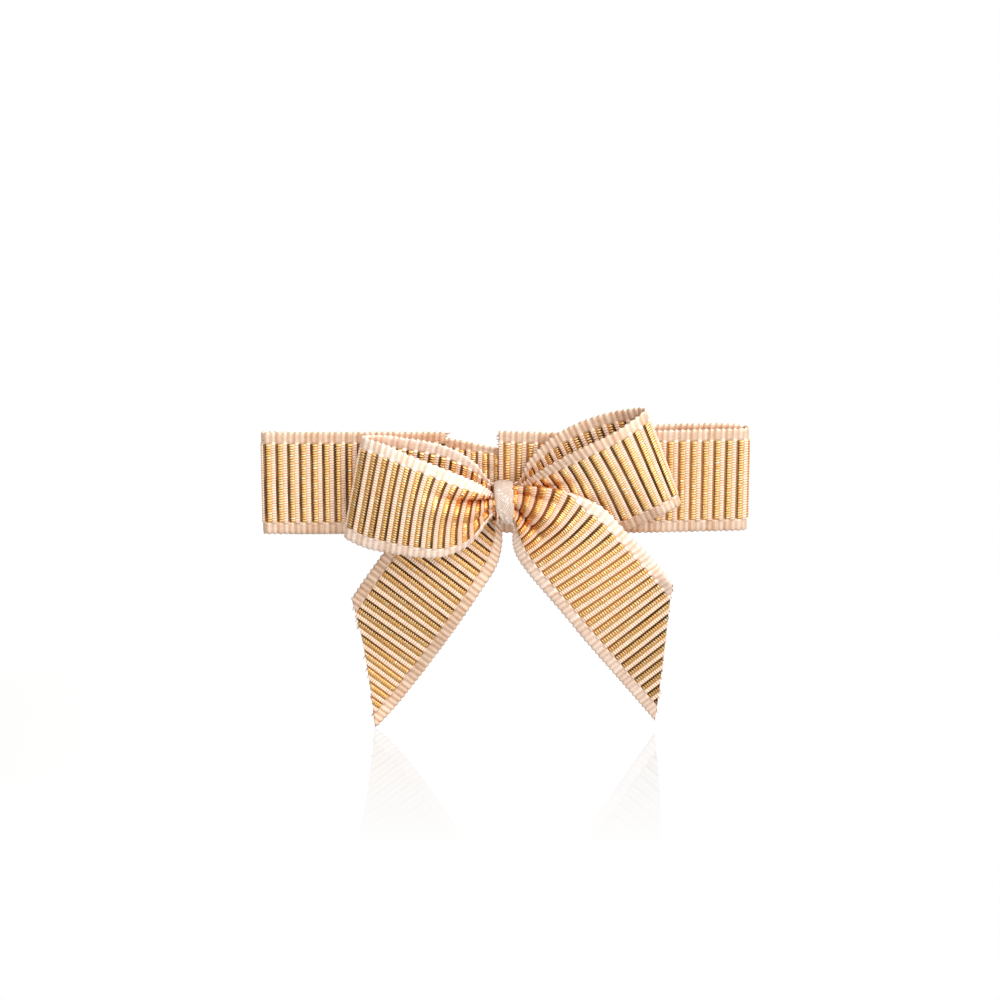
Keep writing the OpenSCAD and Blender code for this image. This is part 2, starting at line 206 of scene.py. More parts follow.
def through_stations(stations, pleat, tuck=None, keep=0.0):
    """The surface of a ribbon through its stations, as a function of t and v. tuck is the
    share of the width at the high edge that is folded behind near the waist, and the t where
    that ends. keep is how well the selvedges hold their width where the rest is gathered."""

    def surface(t, v):
        if tuck:
            tucked = np.clip((tuck[1] - t) / TUCK_FADE, 0, 1)
            ridge = 1 - tuck[0] * tucked
            behind = np.clip(v - ridge, 0, None)
            v = np.minimum(v / ridge, 1)
        q = np.moveaxis(spline(stations, t), -1, 0)
        if keep:
            drawn = np.clip(np.hypot(q[2] - q[0], q[3] - q[1]) / RIBBON_W, 0.2, 1)
            hem = SELVEDGE / RIBBON_W
            held = hem * drawn ** -keep
            field = held + (v - hem) / (1 - 2 * hem) * (1 - 2 * held)
            v = np.where(v < hem, v / hem * held,
                         np.where(v > 1 - hem, 1 - (1 - v) / hem * held, field))
        lag = LAG_SCALE * v ** 1.25 * (1 - v) ** 0.85
        points = np.stack(
            [
                q[0] + (q[2] - q[0]) * v + q[7] * lag,
                arch(q[4], q[5], q[6], v),
                q[1] + (q[3] - q[1]) * v + q[8] * lag,
            ],
            axis=-1,
        )
        points = points + pleat(t, v)
        if tuck:
            round_over = np.sin(np.clip(behind / TUCK_ROUND, 0, 1) * math.pi / 2)
            drop = RIBBON_W * behind
            back = TUCK_DEPTH * round_over + TUCK_BACK * drop
            points = points + np.stack([0 * v, back, -TUCK_DROP * drop], -1)
        return points

    return surface


def facing(surface, t, v, side):
    """The unit normals of a surface, on the side that faces out."""
    e = 0.002
    along = surface(np.clip(t + e, 0, 1), v) - surface(np.clip(t - e, 0, 1), v)
    across = surface(t, np.clip(v + e, 0, 1)) - surface(t, np.clip(v - e, 0, 1))
    n = np.cross(along, across)
    return side * n / np.maximum(np.linalg.norm(n, axis=-1, keepdims=True), 1e-9)


def run(surface, steps=1500):
    """Lengths along a surface from its start, at even shares t."""
    t = np.linspace(0, 1, steps)
    total = np.zeros(steps)
    for v in (0.2, 0.5, 0.8):
        p = surface(t, np.full(steps, v))
        total[1:] += np.cumsum(np.linalg.norm(np.diff(p, axis=0), axis=1)) / 3
    return t, total


def cut_at(total, cut, v_mm):
    """Length of ribbon that a straight cut leaves at v_mm across it."""
    return total * (cut[0] + (cut[1] - cut[0]) * v_mm / RIBBON_W)


class Ribbon:
    """A length of ribbed ribbon on a surface. side is 1 or -1 for the way its normals face,
    turn is -1 where the pattern runs backwards, cut is the t at which the low and the high edge
    end, and start is where the pattern starts, in millimetres."""

    def __init__(self, surface, side=1, turn=1, cut=(1, 1), start=0.0):
        self.surface, self.side, self.turn, self.start = surface, side, turn, start
        self.t_at, self.u_at = run(surface)
        self.total = self.u_at[-1]
        self.cut = tuple(np.interp(cut, self.t_at, self.u_at) / self.total)

    def place(self, u, v_mm):
        """The ribbon's middle points, normals and directions across."""
        t, v = np.interp(u, self.u_at, self.t_at), v_mm / RIBBON_W
        middle = self.surface(t, v)
        low, high = np.clip(v - 0.01, 0, 1), np.clip(v + 0.01, 0, 1)
        across = self.surface(t, high) - self.surface(t, low)
        across /= np.maximum(np.linalg.norm(across, axis=-1, keepdims=True), 1e-9)
        return middle, facing(self.surface, t, v, self.side), across

    def thickness(self, u, v_mm, wound):
        """Half the ribbon's thickness between its gold ribs. wound is each cord's own share."""
        phase = (self.turn * (u - self.start) / PITCH) % 1.0
        inside = np.minimum(v_mm, RIBBON_W - v_mm)
        mix = np.clip((inside - SELVEDGE + FIELD_FADE) / FIELD_FADE, 0, 1)
        field = np.interp(phase, *zip(*CORD, (1.0, CORD[0][1])))
        edge = np.interp(phase, *zip(*EDGE, (1.0, EDGE[0][1])))
        rim = RIM_THIN + (1 - RIM_THIN) * np.clip(inside / RIM_WIDTH, 0, 1) ** 0.5
        return (field * wound * mix + edge * (1 - mix)) * rim

    def cloth(self, u, v_mm):
        """Places on the flat ribbon, for the weave."""
        return np.stack([self.turn * (u - self.start), v_mm + 0 * u], axis=-1).reshape(-1, 2)

    def ground(self, name):
        """The woven ribbon without its gold ribs, as one closed mesh."""
        edge = np.sort(np.append(SELVEDGE * np.linspace(0, 1, 6) ** 1.3, SELVEDGE - FIELD_FADE))
        field = np.linspace(SELVEDGE, RIBBON_W - SELVEDGE, FIELD_STEPS + 1)
        across = np.concatenate([edge[:-1], field, (RIBBON_W - edge)[::-1][1:]])
        shares = sorted({s for s, _ in CORD} | EDGE_BEAD)
        length = self.total * max(self.cut)
        many = int(length / PITCH) + 3
        along = [self.start + self.turn * (k + s) * PITCH for k in range(-many, many)
                 for s in shares]
        along = sorted(u for u in along if 0.05 < u < length - 0.05)
        along = np.array([0.0] + along + [length])
        limit = cut_at(self.total, self.cut, across)
        u, v_mm = np.meshgrid(along, across, indexing="ij")
        u = np.minimum(u, limit[None, :])
        middle, normal, sideways = self.place(u, v_mm)
        inside = np.minimum(v_mm, RIBBON_W - v_mm)
        tooth = PICOT * np.cos(math.pi * (self.turn * (u - self.start) / PITCH * 2 - 0.4)) ** 4
        outwards = np.where(v_mm < RIBBON_W / 2, -1, 1)
        out = tooth * np.clip(1 - inside / PICOT_REACH, 0, 1) * outwards
        middle = middle + sideways * out[..., None]
        wound = 1 + CORD_LIFT * np.where(np.arange(len(across)) % 2, -1, 1)[None, :]
        h = self.thickness(u, v_mm, wound)[..., None]
        rows, cols = u.shape
        ids = np.arange(rows * cols).reshape(rows, cols)
        for j in range(cols):
            first = int(np.argmax(u[:, j] >= limit[j] - 1e-6))
            ids[first:, j] = ids[first, j]
        points = np.concatenate([(middle + normal * h).reshape(-1, 3),
                                 (middle - normal * h).reshape(-1, 3)])
        cloth = self.cloth(u, v_mm)
        kinds = np.where(np.minimum(across, RIBBON_W - across) < SELVEDGE - 0.01, 1, 0)
        kinds = np.maximum(kinds[:-1], kinds[1:])[None, :].repeat(rows - 1, 0)
        faces, kinds = closed_sheet(ids, kinds, self.side)
        return build(name, points, faces, kinds, np.concatenate([cloth, cloth]))

    def ribs(self, name):
        """The gold ribs on both faces, each one a closed strip from selvedge to selvedge or as
        far as the cut."""
        shares, heights = np.array(RIB)[::self.turn].T
        steps = np.linspace(0, 1, FIELD_STEPS + 1)
        low, high = SELVEDGE - RIB_END_LAP, RIBBON_W - SELVEDGE + RIB_END_LAP
        points, cloth, faces, n = [], [], [], 0
        many = int(self.total / PITCH) + 3
        for k in range(-many, many):
            along = self.start + self.turn * (k + shares) * PITCH
            if along[0] < RIB_END_GAP or along[-1] > self.total * max(self.cut) - RIB_END_GAP:
                continue
            first = np.full(len(along), low)
            last = np.full(len(along), high)
            slope = (self.cut[1] - self.cut[0]) * self.total / RIBBON_W
            if slope:
                meets = (along - self.cut[0] * self.total) / slope
                if slope > 0:
                    first = np.maximum(first, meets + RIB_END_GAP)
                else:
                    last = np.minimum(last, meets - RIB_END_GAP)
            first, last = np.clip(first, low, high), np.clip(last, low, high)
            last = np.maximum(last, first)
            if np.max(last - first) < SHORTEST_RIB:
                continue
            v_mm = first[:, None] + steps[None, :] * (last - first)[:, None]
            tooth = np.interp(shares, *TOOTH)[:, None] * (np.arange(len(steps)) % 2)
            u = along[:, None] - self.turn * PITCH * tooth
            middle, normal, _ = self.place(u, v_mm)
            wound = 1 + RIB_LIFT * np.where(np.arange(len(steps)) % 2, 1, -1)
            inside = np.clip(np.minimum(v_mm - low, high - v_mm) / RIB_END_WIDTH, 0, 1)
            thin = RIB_END_THIN + (1 - RIB_END_THIN) * inside ** 0.5
            h = (heights[:, None] * wound[None, :] * thin)[..., None]
            for face in (1, -1):
                points.append((middle + face * normal * h).reshape(-1, 3))
                cloth.append(self.cloth(u, v_mm))
                ids = n + np.arange(u.size).reshape(u.shape)
                n += u.size
                ids = np.concatenate([ids, ids[:1]])
                turn = self.side * face
                ring = [ids[:-1, :-1], ids[1:, :-1], ids[1:, 1:], ids[:-1, 1:]][::turn]
                faces += np.stack(ring, -1).reshape(-1, 4).tolist()
                faces.append(ids[:-1, 0].tolist()[::-turn])
                faces.append(ids[:-1, -1].tolist()[::turn])
        return build(name, np.concatenate(points), faces, None, np.concatenate(cloth))

    def frays(self, name, at_start, seed):
        """Loose yarn ends along a cut end."""
        rng = random.Random(seed)
        paths = []
        for k in range(FRAYS):
            v_mm = np.array([RIBBON_W * (k + rng.uniform(0.2, 0.8)) / FRAYS])
            end = cut_at(self.total, self.cut, v_mm)
            u = np.array([FRAY_ROOT]) if at_start else end - FRAY_ROOT
            back = u + 0.5 if at_start else u - 0.5
            at, normal, across = (p[0] for p in self.place(u, v_mm))
            ahead = at - self.place(back, v_mm)[0][0]
            ahead /= np.linalg.norm(ahead)
            slant = 0 if at_start else np.sign(self.cut[1] - self.cut[0])
            lean = rng.uniform(-0.5, 0.5) + 0.5 * slant
            bend = rng.uniform(-0.3, 0.3)
            reach = FRAY_SHORTEST + FRAY_LONGER * rng.random() ** 2.2
            reach = min(reach, max(FRAY_AT_FLOOR, (at[2] - FRAY_LOWEST_Z) / 1.2))
            at = at + normal * rng.uniform(-0.25, 0.25)
            paths.append([at + reach * (ahead * s + across * (lean * s) + normal * (bend * s * s))
                          for s in (0, 0.35, 0.7, 1.0)])
        return tubes(name, paths, FRAY_RADIUS, sides=5, taper=0.5)


def closed_sheet(ids, kinds, side):
    """Faces of a closed sheet, from the grid of its front points' numbers. Points that a cut
    has moved onto each other share a number."""
    n = int(ids.size)
    a, b, c, d = (x.ravel() for x in (ids[:-1, :-1], ids[1:, :-1], ids[1:, 1:], ids[:-1, 1:]))
    kind = kinds.ravel()
    low, high = a == b, d == c
    full = ~low & ~high
    parts = [
        (np.stack([a, b, c, d], -1)[full], kind[full]),
        (np.stack([a, c, d], -1)[low & ~high], kind[low & ~high]),
        (np.stack([a, b, d], -1)[high & ~low], kind[high & ~low]),
    ]
    faces, out, edges, edge_kind = [], [], [], []
    for rings, its in parts:
        rings = rings if side > 0 else rings[:, ::-1]
        faces += rings.tolist()
        faces += (rings[:, ::-1] + n).tolist()
        out += its.tolist() * 2
        edges.append(np.stack([rings, np.roll(rings, -1, 1)], -1).reshape(-1, 2))
        edge_kind.append(its.repeat(rings.shape[1]))
    edges, edge_kind = np.concatenate(edges), np.concatenate(edge_kind)
    rim = ~np.isin(edges[:, 1] * n + edges[:, 0], edges[:, 0] * n + edges[:, 1])
    p, q = edges[rim].T
    faces += np.stack([q, p, p + n, q + n], -1).tolist()
    out += edge_kind[rim].tolist()
    return faces, out


def build(name, points_mm, faces, kinds=None, cloth_mm=None):
    """A mesh object from points in millimetres, without the points that no face uses. cloth_mm
    gives each point's place on the flat ribbon, which the weave is drawn by."""
    used = np.unique(np.concatenate([np.asarray(f) for f in faces]))
    new = np.full(len(points_mm), -1)
    new[used] = np.arange(len(used))
    sizes = np.array([len(f) for f in faces])
    corners = new[np.concatenate([np.asarray(f) for f in faces])]
    mesh = bpy.data.meshes.new(name)
    mesh.vertices.add(len(used))
    mesh.vertices.foreach_set("co", (np.asarray(points_mm)[used] * MM).astype(np.float32).ravel())
    mesh.loops.add(len(corners))
    mesh.loops.foreach_set("vertex_index", corners.astype(np.int32))
    mesh.polygons.add(len(faces))
    mesh.polygons.foreach_set("loop_start", (np.cumsum(sizes) - sizes).astype(np.int32))
    if kinds is not None:
        mesh.polygons.foreach_set("material_index", np.array(kinds, np.int32))
    if cloth_mm is not None:
        layer = mesh.uv_layers.new(name="cloth")
        layer.data.foreach_set("uv", cloth_mm[used][corners].astype(np.float32).ravel())
    mesh.polygons.foreach_set("use_smooth", np.ones(len(faces), bool))
    mesh.update(calc_edges=True)
    mesh.validate()
    piece = bpy.data.objects.new(name, mesh)
    bpy.context.scene.collection.objects.link(piece)
    return piece


def tubes(name, paths, radius, sides, taper=1.0):
    """Round threads along paths of points, as one mesh. taper is their end's share of the
    radius."""
    points, faces = [], []
    guide = np.array([0.31, 0.77, 0.55])
    for path in paths:
        path = np.asarray(path, float)
        base, last = len(points), len(path) - 1
        way = np.gradient(path, axis=0)
        way /= np.linalg.norm(way, axis=1, keepdims=True)
        for i, (p, w) in enumerate(zip(path, way)):
            a = np.cross(w, guide)
            a /= np.linalg.norm(a)
            b = np.cross(w, a)
            r = radius * (1 + (taper - 1) * i / last)
            for k in range(sides):
                angle = 2 * math.pi * k / sides
                points.append(p + r * (math.cos(angle) * a + math.sin(angle) * b))
        for i in range(last):
            for k in range(sides):
                p, q = base + i * sides + k, base + i * sides + (k + 1) % sides
                faces.append([p, q, q + sides, p + sides])
        faces.append([base + k for k in reversed(range(sides))])
        faces.append([base + last * sides + k for k in range(sides)])
    points = np.array(points)
    return build(name, points, faces, None, points[:, [2, 0]])


# ---- looks ----


def srgb(r, g, b):
    """A colour as it looks on a screen, in the linear numbers that shaders take."""
    return tuple(((c + 0.055) / 1.055) ** 2.4 if c > 0.04 else c / 12.92 for c in (r, g, b)) + (1,)


# Places in millimetres where looks change. The knot, how far the painted warm shade and gold
# reflection
# beside it reach, and where the bow's front begins in depth:
KNOT = (0, -9.0, -3.6)
KNOT_REACH = (8.0, 19.0)
FRONT_Y = (-6.2, -7.0)
# Where the painted shade in the gaps of the weave gives way to paler painted light, on parts that
# face
# the light: down the left tail, on the right tail down to a slanted line, and along the band,
# which lies behind BAND_Y.
PALE_LEFT_Z = (-38.0, -47.0)
PALE_RIGHT_Z, PALE_RIGHT_LINE, PALE_SLANT = (-10.0, -16.0), (46.0, 36.0), -0.37
PALE_BAND_X, BAND_Y = (-12.0, 0.0), (-4.9, -4.7)


class Nodes:
    """Makes nodes in a material's or the world's tree."""

    def __init__(self, owner):
        owner.use_nodes = True
        self.tree = owner.node_tree

    def node(self, kind, inputs=None, **settings):
        """A node with its settings, and with a number or a link on each of these inputs."""
        made = self.tree.nodes.new("ShaderNode" + kind)
        for setting, value in settings.items():
            setattr(made, setting, value)
        for key, value in (inputs or {}).items():
            if isinstance(value, bpy.types.NodeSocket):
                self.tree.links.new(value, made.inputs[key])
            else:
                made.inputs[key].default_value = value
        return made

    def math(self, operation, a, b=0.0, c=0.0):
        return self.node("Math", {0: a, 1: b, 2: c}, operation=operation).outputs[0]

    def axis(self, vector, which):
        return self.node("SeparateXYZ", {0: vector}).outputs[which]

    def ramp(self, value, low, high, a=0.0, b=1.0):
        """A number that goes from a to b while the value goes from low to high."""
        return self.node("MapRange", {0: value, 1: low, 2: high, 3: a, 4: b}).outputs[0]


class Look(Nodes):
    """A material. Its patterns are drawn by the place on the flat ribbon or in space, both in
    millimetres."""

    def __init__(self, name, roughness=0.5, metallic=0.0, **sockets):
        self.material = bpy.data.materials.new(name)
        super().__init__(self.material)
        self.shader = self.tree.nodes["Principled BSDF"]
        self.shader.inputs["Roughness"].default_value = roughness
        self.shader.inputs["Metallic"].default_value = metallic
        for socket, value in sockets.items():
            self.shader.inputs[socket.replace("_", " ")].default_value = value

    def cloth(self, scale_u=1.0, scale_v=1.0):
        """The place on the flat ribbon, scaled."""
        at = self.node("UVMap", uv_map="cloth").outputs[0]
        return self.node("Mapping", {"Vector": at, "Scale": (scale_u, scale_v, 1)}).outputs[0]

    def flat(self):
        """The places along and across the flat ribbon."""
        at = self.cloth()
        return self.axis(at, "X"), self.axis(at, "Y")

    def place(self):
        """The place in space, in millimetres."""
        at = self.node("TexCoord").outputs["Object"]
        return self.node("Mapping", {"Vector": at, "Scale": (1 / MM,) * 3}).outputs[0]

    def noise(self, vector, scale, detail=2.0):
        made = self.node("TexNoise", {"Vector": vector, "Scale": scale, "Detail": detail})
        return made.outputs["Fac"]

    def waves(self, value, period, phase=0.0):
        """Waves from 0 to 1 along a value, with this period."""
        turn = self.math("MULTIPLY_ADD", value, 2 * math.pi / period, phase)
        return self.math("MULTIPLY_ADD", self.math("COSINE", turn), 0.5, 0.5)

    def mix(self, factor, a, b):
        """The colour a where the factor is 0, b where it is 1."""
        return self.node("Mix", {0: factor, 6: a, 7: b}, data_type="RGBA").outputs[2]

    def knot_warm_shade(self):
        """1 beside the knot, where warm shade and reflected gold light are painted, fading out
        along the bow.
        """
        at = self.place()
        away = self.node("VectorMath", {0: at, 1: KNOT}, operation="DISTANCE")
        near = self.ramp(away.outputs["Value"], *KNOT_REACH, 1.0, 0.0)
        return self.math("MULTIPLY", near, self.ramp(self.axis(at, "Y"), *FRONT_Y))

    def lit_gaps(self):
        """1 where the painted shade in the gaps between cords and ribs turns pale as painted
        light, on parts that
        face the light: the right of the band, the left tail's end and the right tail's upper half."""
        at = self.place()
        x, y, z = (self.axis(at, which) for which in "XYZ")
        left = self.ramp(z, *PALE_LEFT_Z)
        slanted = self.math("MULTIPLY_ADD", z, PALE_SLANT, x)
        right = self.math("MULTIPLY", self.ramp(slanted, *PALE_RIGHT_LINE),
                          self.ramp(z, *PALE_RIGHT_Z))
        tails = self.node("Mix", {0: self.ramp(x, -0.1, 0.1), 2: left, 3: right}).outputs[0]
        band = self.ramp(x, *PALE_BAND_X)
        return self.node("Mix", {0: self.ramp(y, *BAND_Y), 2: tails, 3: band}).outputs[0]

    def colour(self, value):
        self.tree.links.new(value, self.shader.inputs["Base Color"])

    def rough(self, value):
        self.tree.links.new(value, self.shader.inputs["Roughness"])

    def bump(self, height, distance_mm, strength=1.0):
        made = self.node("Bump", {"Height": height, "Distance": distance_mm * MM,
                                  "Strength": strength})
        self.tree.links.new(made.outputs[0], self.shader.inputs["Normal"])


def ticks(look, v, peak_even):
    """Waves across the ribbon that peak on every second column of the woven mesh."""
    phase = -2 * math.pi * SELVEDGE / TICK + (0 if peak_even else math.pi)
    return look.waves(v, TICK, phase)


def cord_look():
    """The cream field: beaded cords, their tone drifting at random, with painted highlight on the
    beads' tops and painted shade in their dips, and painted shade in the gap that shows between
    them and the gold.
    """
    look = Look("cream_cord", roughness=0.42, Sheen_Weight=0.15, Sheen_Roughness=0.35,
                Specular_IOR_Level=0.6)
    u, v = look.flat()
    share = look.math("FRACT", look.math("DIVIDE", u, PITCH))
    beads = ticks(look, v, True)
    drift = look.ramp(look.noise(look.cloth(0.35, 0.5), 1.0, 3), 0.3, 0.7)
    pale = look.mix(drift, srgb(0.99, 0.90, 0.82), srgb(0.96, 0.84, 0.74))
    warm = look.mix(drift, srgb(0.84, 0.65, 0.50), srgb(0.77, 0.56, 0.40))
    knot_warmth = look.knot_warm_shade()
    # The beads' tops are painted pale and their dips warm: painted highlight and shade on the
    # cords' relief.
    cord = look.mix(look.ramp(beads, 0.05, 0.6), warm, pale)
    # Painted warm shade and gold reflection on the cords beside the knot.
    cord = look.mix(look.math("MULTIPLY", knot_warmth, 0.35), cord, srgb(0.86, 0.56, 0.30))
    # The gap's painted shade, lifted at random and on the parts that face the light.
    clear = look.ramp(look.noise(look.cloth(0.06, 0.1), 1.0, 2), 0.42, 0.6, 0.0, 0.4)
    clear = look.math("MAXIMUM", clear, look.math("MULTIPLY", look.lit_gaps(), 0.85))
    deep = look.mix(clear, srgb(0.14, 0.06, 0.02), srgb(0.82, 0.61, 0.40))
    gap_shade = look.mix(look.math("MULTIPLY", beads, 0.6), srgb(0.56, 0.36, 0.16), deep)
    gap_shade = look.mix(beads, deep, gap_shade)
    # Painted warm shade and gold reflection in the gaps beside the knot.
    gap_shade = look.mix(look.math("MULTIPLY", knot_warmth, 0.7), gap_shade, srgb(0.60, 0.27, 0.06))
    # Where the gap between cord and gold shows, it takes the painted shade.
    gap_shade_mask = look.math("MULTIPLY", look.ramp(share, 0.35, 0.385), look.ramp(share, 0.985, 0.97))
    look.colour(look.mix(gap_shade_mask, cord, gap_shade))
    fibre = look.noise(look.cloth(9.0, 22.0), 1.0, 2)
    look.bump(look.math("MULTIPLY_ADD", fibre, 0.3, beads), 0.07)
    look.rough(look.ramp(beads, 0, 1, 0.55, 0.36))
    return look.material


def gold_look():
    """Metallised yarn wound round each rib, in two gold tones at random, with painted shade on its
    flank beside the gap and between its winds, a painted highlight on its other flank, painted
    glints, and painted warm shade beside the knot.
    """
    look = Look("gold_rib", roughness=0.3, metallic=0.85)
    u, v = look.flat()
    share = look.math("FRACT", look.math("DIVIDE", u, PITCH))
    turns = ticks(look, v, False)
    cells = look.node("TexVoronoi", {"Vector": look.cloth(1.4, 2 / TICK), "Scale": 1.0})
    facet = look.axis(cells.outputs["Color"], "X")
    other = look.axis(cells.outputs["Color"], "Y")
    tone = look.mix(other, srgb(1.0, 0.84, 0.58), srgb(0.98, 0.72, 0.41))
    # Painted glints: some facets turn near white.
    tone = look.mix(look.ramp(facet, 0.88, 0.96), tone, srgb(1.0, 0.95, 0.82))
    # Painted shade in the troughs between the winds.
    tone = look.mix(look.ramp(turns, 0.0, 0.4, 0.55, 0.0), tone, srgb(0.72, 0.47, 0.23))
    # The rib's flank beside the gap is painted dark as shade, most between the winds.
    past = look.math("LESS_THAN", share, 0.3)
    flank = look.math("ADD", share, past)
    gap = look.ramp(turns, 0.2, 0.9, 1.0, 0.4)
    edge = look.math("MULTIPLY", look.ramp(flank, 0.64, 0.575), gap)
    # Painted highlight on the rib's other flank.
    tone = look.mix(look.ramp(flank, 0.9, 1.0, 0.0, 0.5), tone, srgb(0.98, 0.84, 0.66))
    # The flank's painted shade turns pale where the surface faces the light.
    flank_shade = look.mix(look.lit_gaps(), srgb(0.18, 0.08, 0.02), srgb(0.86, 0.63, 0.38))
    tone = look.mix(edge, tone, flank_shade)
    # Painted warm shade and gold reflection on the gold beside the knot.
    knot_warmth = look.math("MULTIPLY", look.knot_warm_shade(), look.ramp(facet, 0.3, 0.9, 0.75, 0.25))
    look.colour(look.mix(knot_warmth, tone, srgb(0.94, 0.56, 0.19)))
    look.bump(look.math("MULTIPLY_ADD", facet, 0.7, turns), 0.06)
    look.rough(look.ramp(facet, 0, 1, 0.34, 0.16))
    return look.material


SATIN_THREAD = 0.16


def satin_look(name, pale, deep, rib=PITCH / 2, gloss=0.34, coat=0.0, shine=0.0):
    """Satin with a faint rib across it and fine threads along it, painted paler along the ribs'
    crests as light and deeper between as shade.
    """
    look = Look(name, roughness=gloss, metallic=shine, Sheen_Weight=0.3, Sheen_Roughness=0.3,
                Specular_IOR_Level=0.7, Coat_Weight=coat, Coat_Roughness=0.3)
    u, v = look.flat()
    ribs = look.waves(u, rib, phase=-2 * math.pi * 0.19 * PITCH / rib)
    threads = look.waves(v, SATIN_THREAD)
    drift = look.noise(look.cloth(0.5, 1.4), 1.0, 3)
    which = look.math("FLOOR", look.math("MULTIPLY_ADD", u, 1 / rib, 0.31))
    own = look.node("TexWhiteNoise", {"W": which}, noise_dimensions="1D").outputs["Value"]
    # Painted light on the ribs' crests and painted shade between them, with random tone by rib and
    # drift.
    shade = look.math("MULTIPLY_ADD", ribs, 0.45, look.math("MULTIPLY", drift, 0.4))
    shade = look.math("MULTIPLY_ADD", own, 0.4, shade)
    look.colour(look.mix(look.ramp(shade, 0.2, 1.0), deep, pale))
    fibre = look.noise(look.cloth(4.0, 30.0), 1.0, 2)
    height = look.math("MULTIPLY_ADD", threads, 0.2, look.math("MULTIPLY_ADD", fibre, 0.3, ribs))
    look.bump(height, 0.025)
    look.rough(look.ramp(drift, 0.3, 0.7, gloss - 0.08, gloss + 0.1))
    return look.material


def twill_look():
    """The wrap's satin, with slanted lines and painted glints as bright specks."""
    look = Look("wrap_satin", roughness=0.32, Sheen_Weight=0.3, Sheen_Roughness=0.3,
                Specular_IOR_Level=0.7)
    u, v = look.flat()
    lines = look.waves(look.math("MULTIPLY_ADD", u, -0.8, v), 0.42)
    cells = look.node("TexVoronoi", {"Vector": look.cloth(2.6, 2.6), "Scale": 1.0})
    facet = look.axis(cells.outputs["Color"], "X")
    drift = look.noise(look.cloth(0.5, 0.9), 1.0, 3)
    pale = look.mix(drift, srgb(0.88, 0.81, 0.75), srgb(0.82, 0.73, 0.66))
    # Painted glints: some facets turn near white.
    pale = look.mix(look.ramp(facet, 0.8, 0.98), pale, srgb(1.0, 0.98, 0.95))
    look.colour(look.mix(look.ramp(lines, 0, 0.6, 0.55, 0), pale, srgb(0.66, 0.51, 0.42)))
    look.bump(look.math("MULTIPLY_ADD", facet, 0.3, lines), 0.07)
    look.rough(look.ramp(facet, 0, 1, 0.42, 0.22))
    return look.material


def thread_look():
    look = Look("thread", roughness=0.5, Sheen_Weight=0.3, Sheen_Roughness=0.4)
    at = look.place()
    x, z = look.axis(at, "X"), look.axis(at, "Z")
    twist = look.waves(look.math("MULTIPLY_ADD", x, 0.6, z), 0.35)
    drift = look.noise(at, 0.8, 3)
    pale = look.mix(drift, srgb(0.98, 0.88, 0.80), srgb(0.93, 0.78, 0.66))
    look.colour(look.mix(twist, srgb(0.80, 0.62, 0.50), pale))
    look.bump(twist, 0.05)
    return look.material


def glue_look():
    look = Look("hot_glue", roughness=0.3, Transmission_Weight=0.15, Coat_Weight=0.3)
    at = look.place()
    cloud = look.noise(at, 0.7, 3)
    look.colour(look.mix(cloud, srgb(0.93, 0.90, 0.80), srgb(0.98, 0.96, 0.90)))
    look.bump(look.noise(at, 1.6, 2), 0.2)
    look.rough(look.ramp(cloud, 0.3, 0.7, 0.2, 0.45))
    return look.material


def foam_look():
    look = Look("foam", roughness=0.85)
    at = look.place()
    cells = look.node("TexVoronoi", {"Vector": at, "Scale": 3.4}, feature="DISTANCE_TO_EDGE")
    wall = look.ramp(cells.outputs["Distance"], 0.02, 0.3)
    drift = look.noise(at, 0.3, 3)
    pale = look.mix(drift, srgb(0.97, 0.96, 0.93), srgb(0.93, 0.91, 0.87))
    look.colour(look.mix(wall, pale, srgb(0.80, 0.78, 0.74)))
    look.bump(wall, 0.12, 0.8)
    return look.material


def liner_look():
    look = Look("liner_paper", roughness=0.3, Coat_Weight=0.25)
    at = look.place()
    fibre = look.noise(at, 1.2, 6)
    drift = look.noise(at, 0.12, 2)
    pale = look.mix(drift, srgb(0.84, 0.90, 0.94), srgb(0.78, 0.86, 0.91))
    look.colour(look.mix(look.ramp(fibre, 0.55, 0.75), pale, srgb(0.90, 0.94, 0.96)))
    look.bump(fibre, 0.04)
    look.rough(look.ramp(drift, 0.3, 0.7, 0.24, 0.38))
    return look.material


CORD_LOOK, GOLD_LOOK = cord_look(), gold_look()
# The same satin twice: the lit copy is paler, painted light for the left loop and the right tail,
# which face the light; the other serves the band, the right loop and the left tail.
SELVEDGE_LOOK = satin_look("selvedge_satin", srgb(0.93, 0.82, 0.73), srgb(0.78, 0.60, 0.46),
                           gloss=0.27, coat=0.5, shine=0.4)
LIT_SELVEDGE_LOOK = satin_look("lit_selvedge_satin", srgb(1.0, 0.92, 0.86),
                               srgb(0.86, 0.70, 0.58), gloss=0.28, coat=0.5, shine=0.35)
FRAY_LOOK = satin_look("loose_yarn", srgb(0.80, 0.56, 0.30), srgb(0.46, 0.26, 0.09), rib=0.5)
THREAD_LOOK, GLUE_LOOK = thread_look(), glue_look()
TWILL_LOOK, FOAM_LOOK, LINER_LOOK = twill_look(), foam_look(), liner_look()


# ---- the pieces ----


def dress(piece, slot, *looks):
    for look in looks:
        piece.data.materials.append(look)
    return piece


def hold(pieces, body, start=None):
    """The pieces ride on a body, or, where a start is given, keep their place with their transform
    baked in.
    """
    for piece in pieces:
        if start is None:
            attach(piece, body)
        else:
            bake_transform(piece)


# A gather has its full depth from 1 / FOLD_GAIN of the way to the waist.
FOLD_GAIN = 1.6


def fold(at_waist, far, t_waist, t_far, depth, width):
    """One gather: a valley, or a ridge where depth is negative, that runs from the waist and
    fades out. at_waist and far are its places across the ribbon."""

    def push(t, v):
        f = np.clip((t - t_far) / (t_waist - t_far), 0, 1)
        middle = far + (at_waist - far) * f
        held = np.clip(f * FOLD_GAIN, 0, 1)
        return depth * held * held * (3 - 2 * held) * np.exp(-(((v - middle) / width) ** 2))

    return push


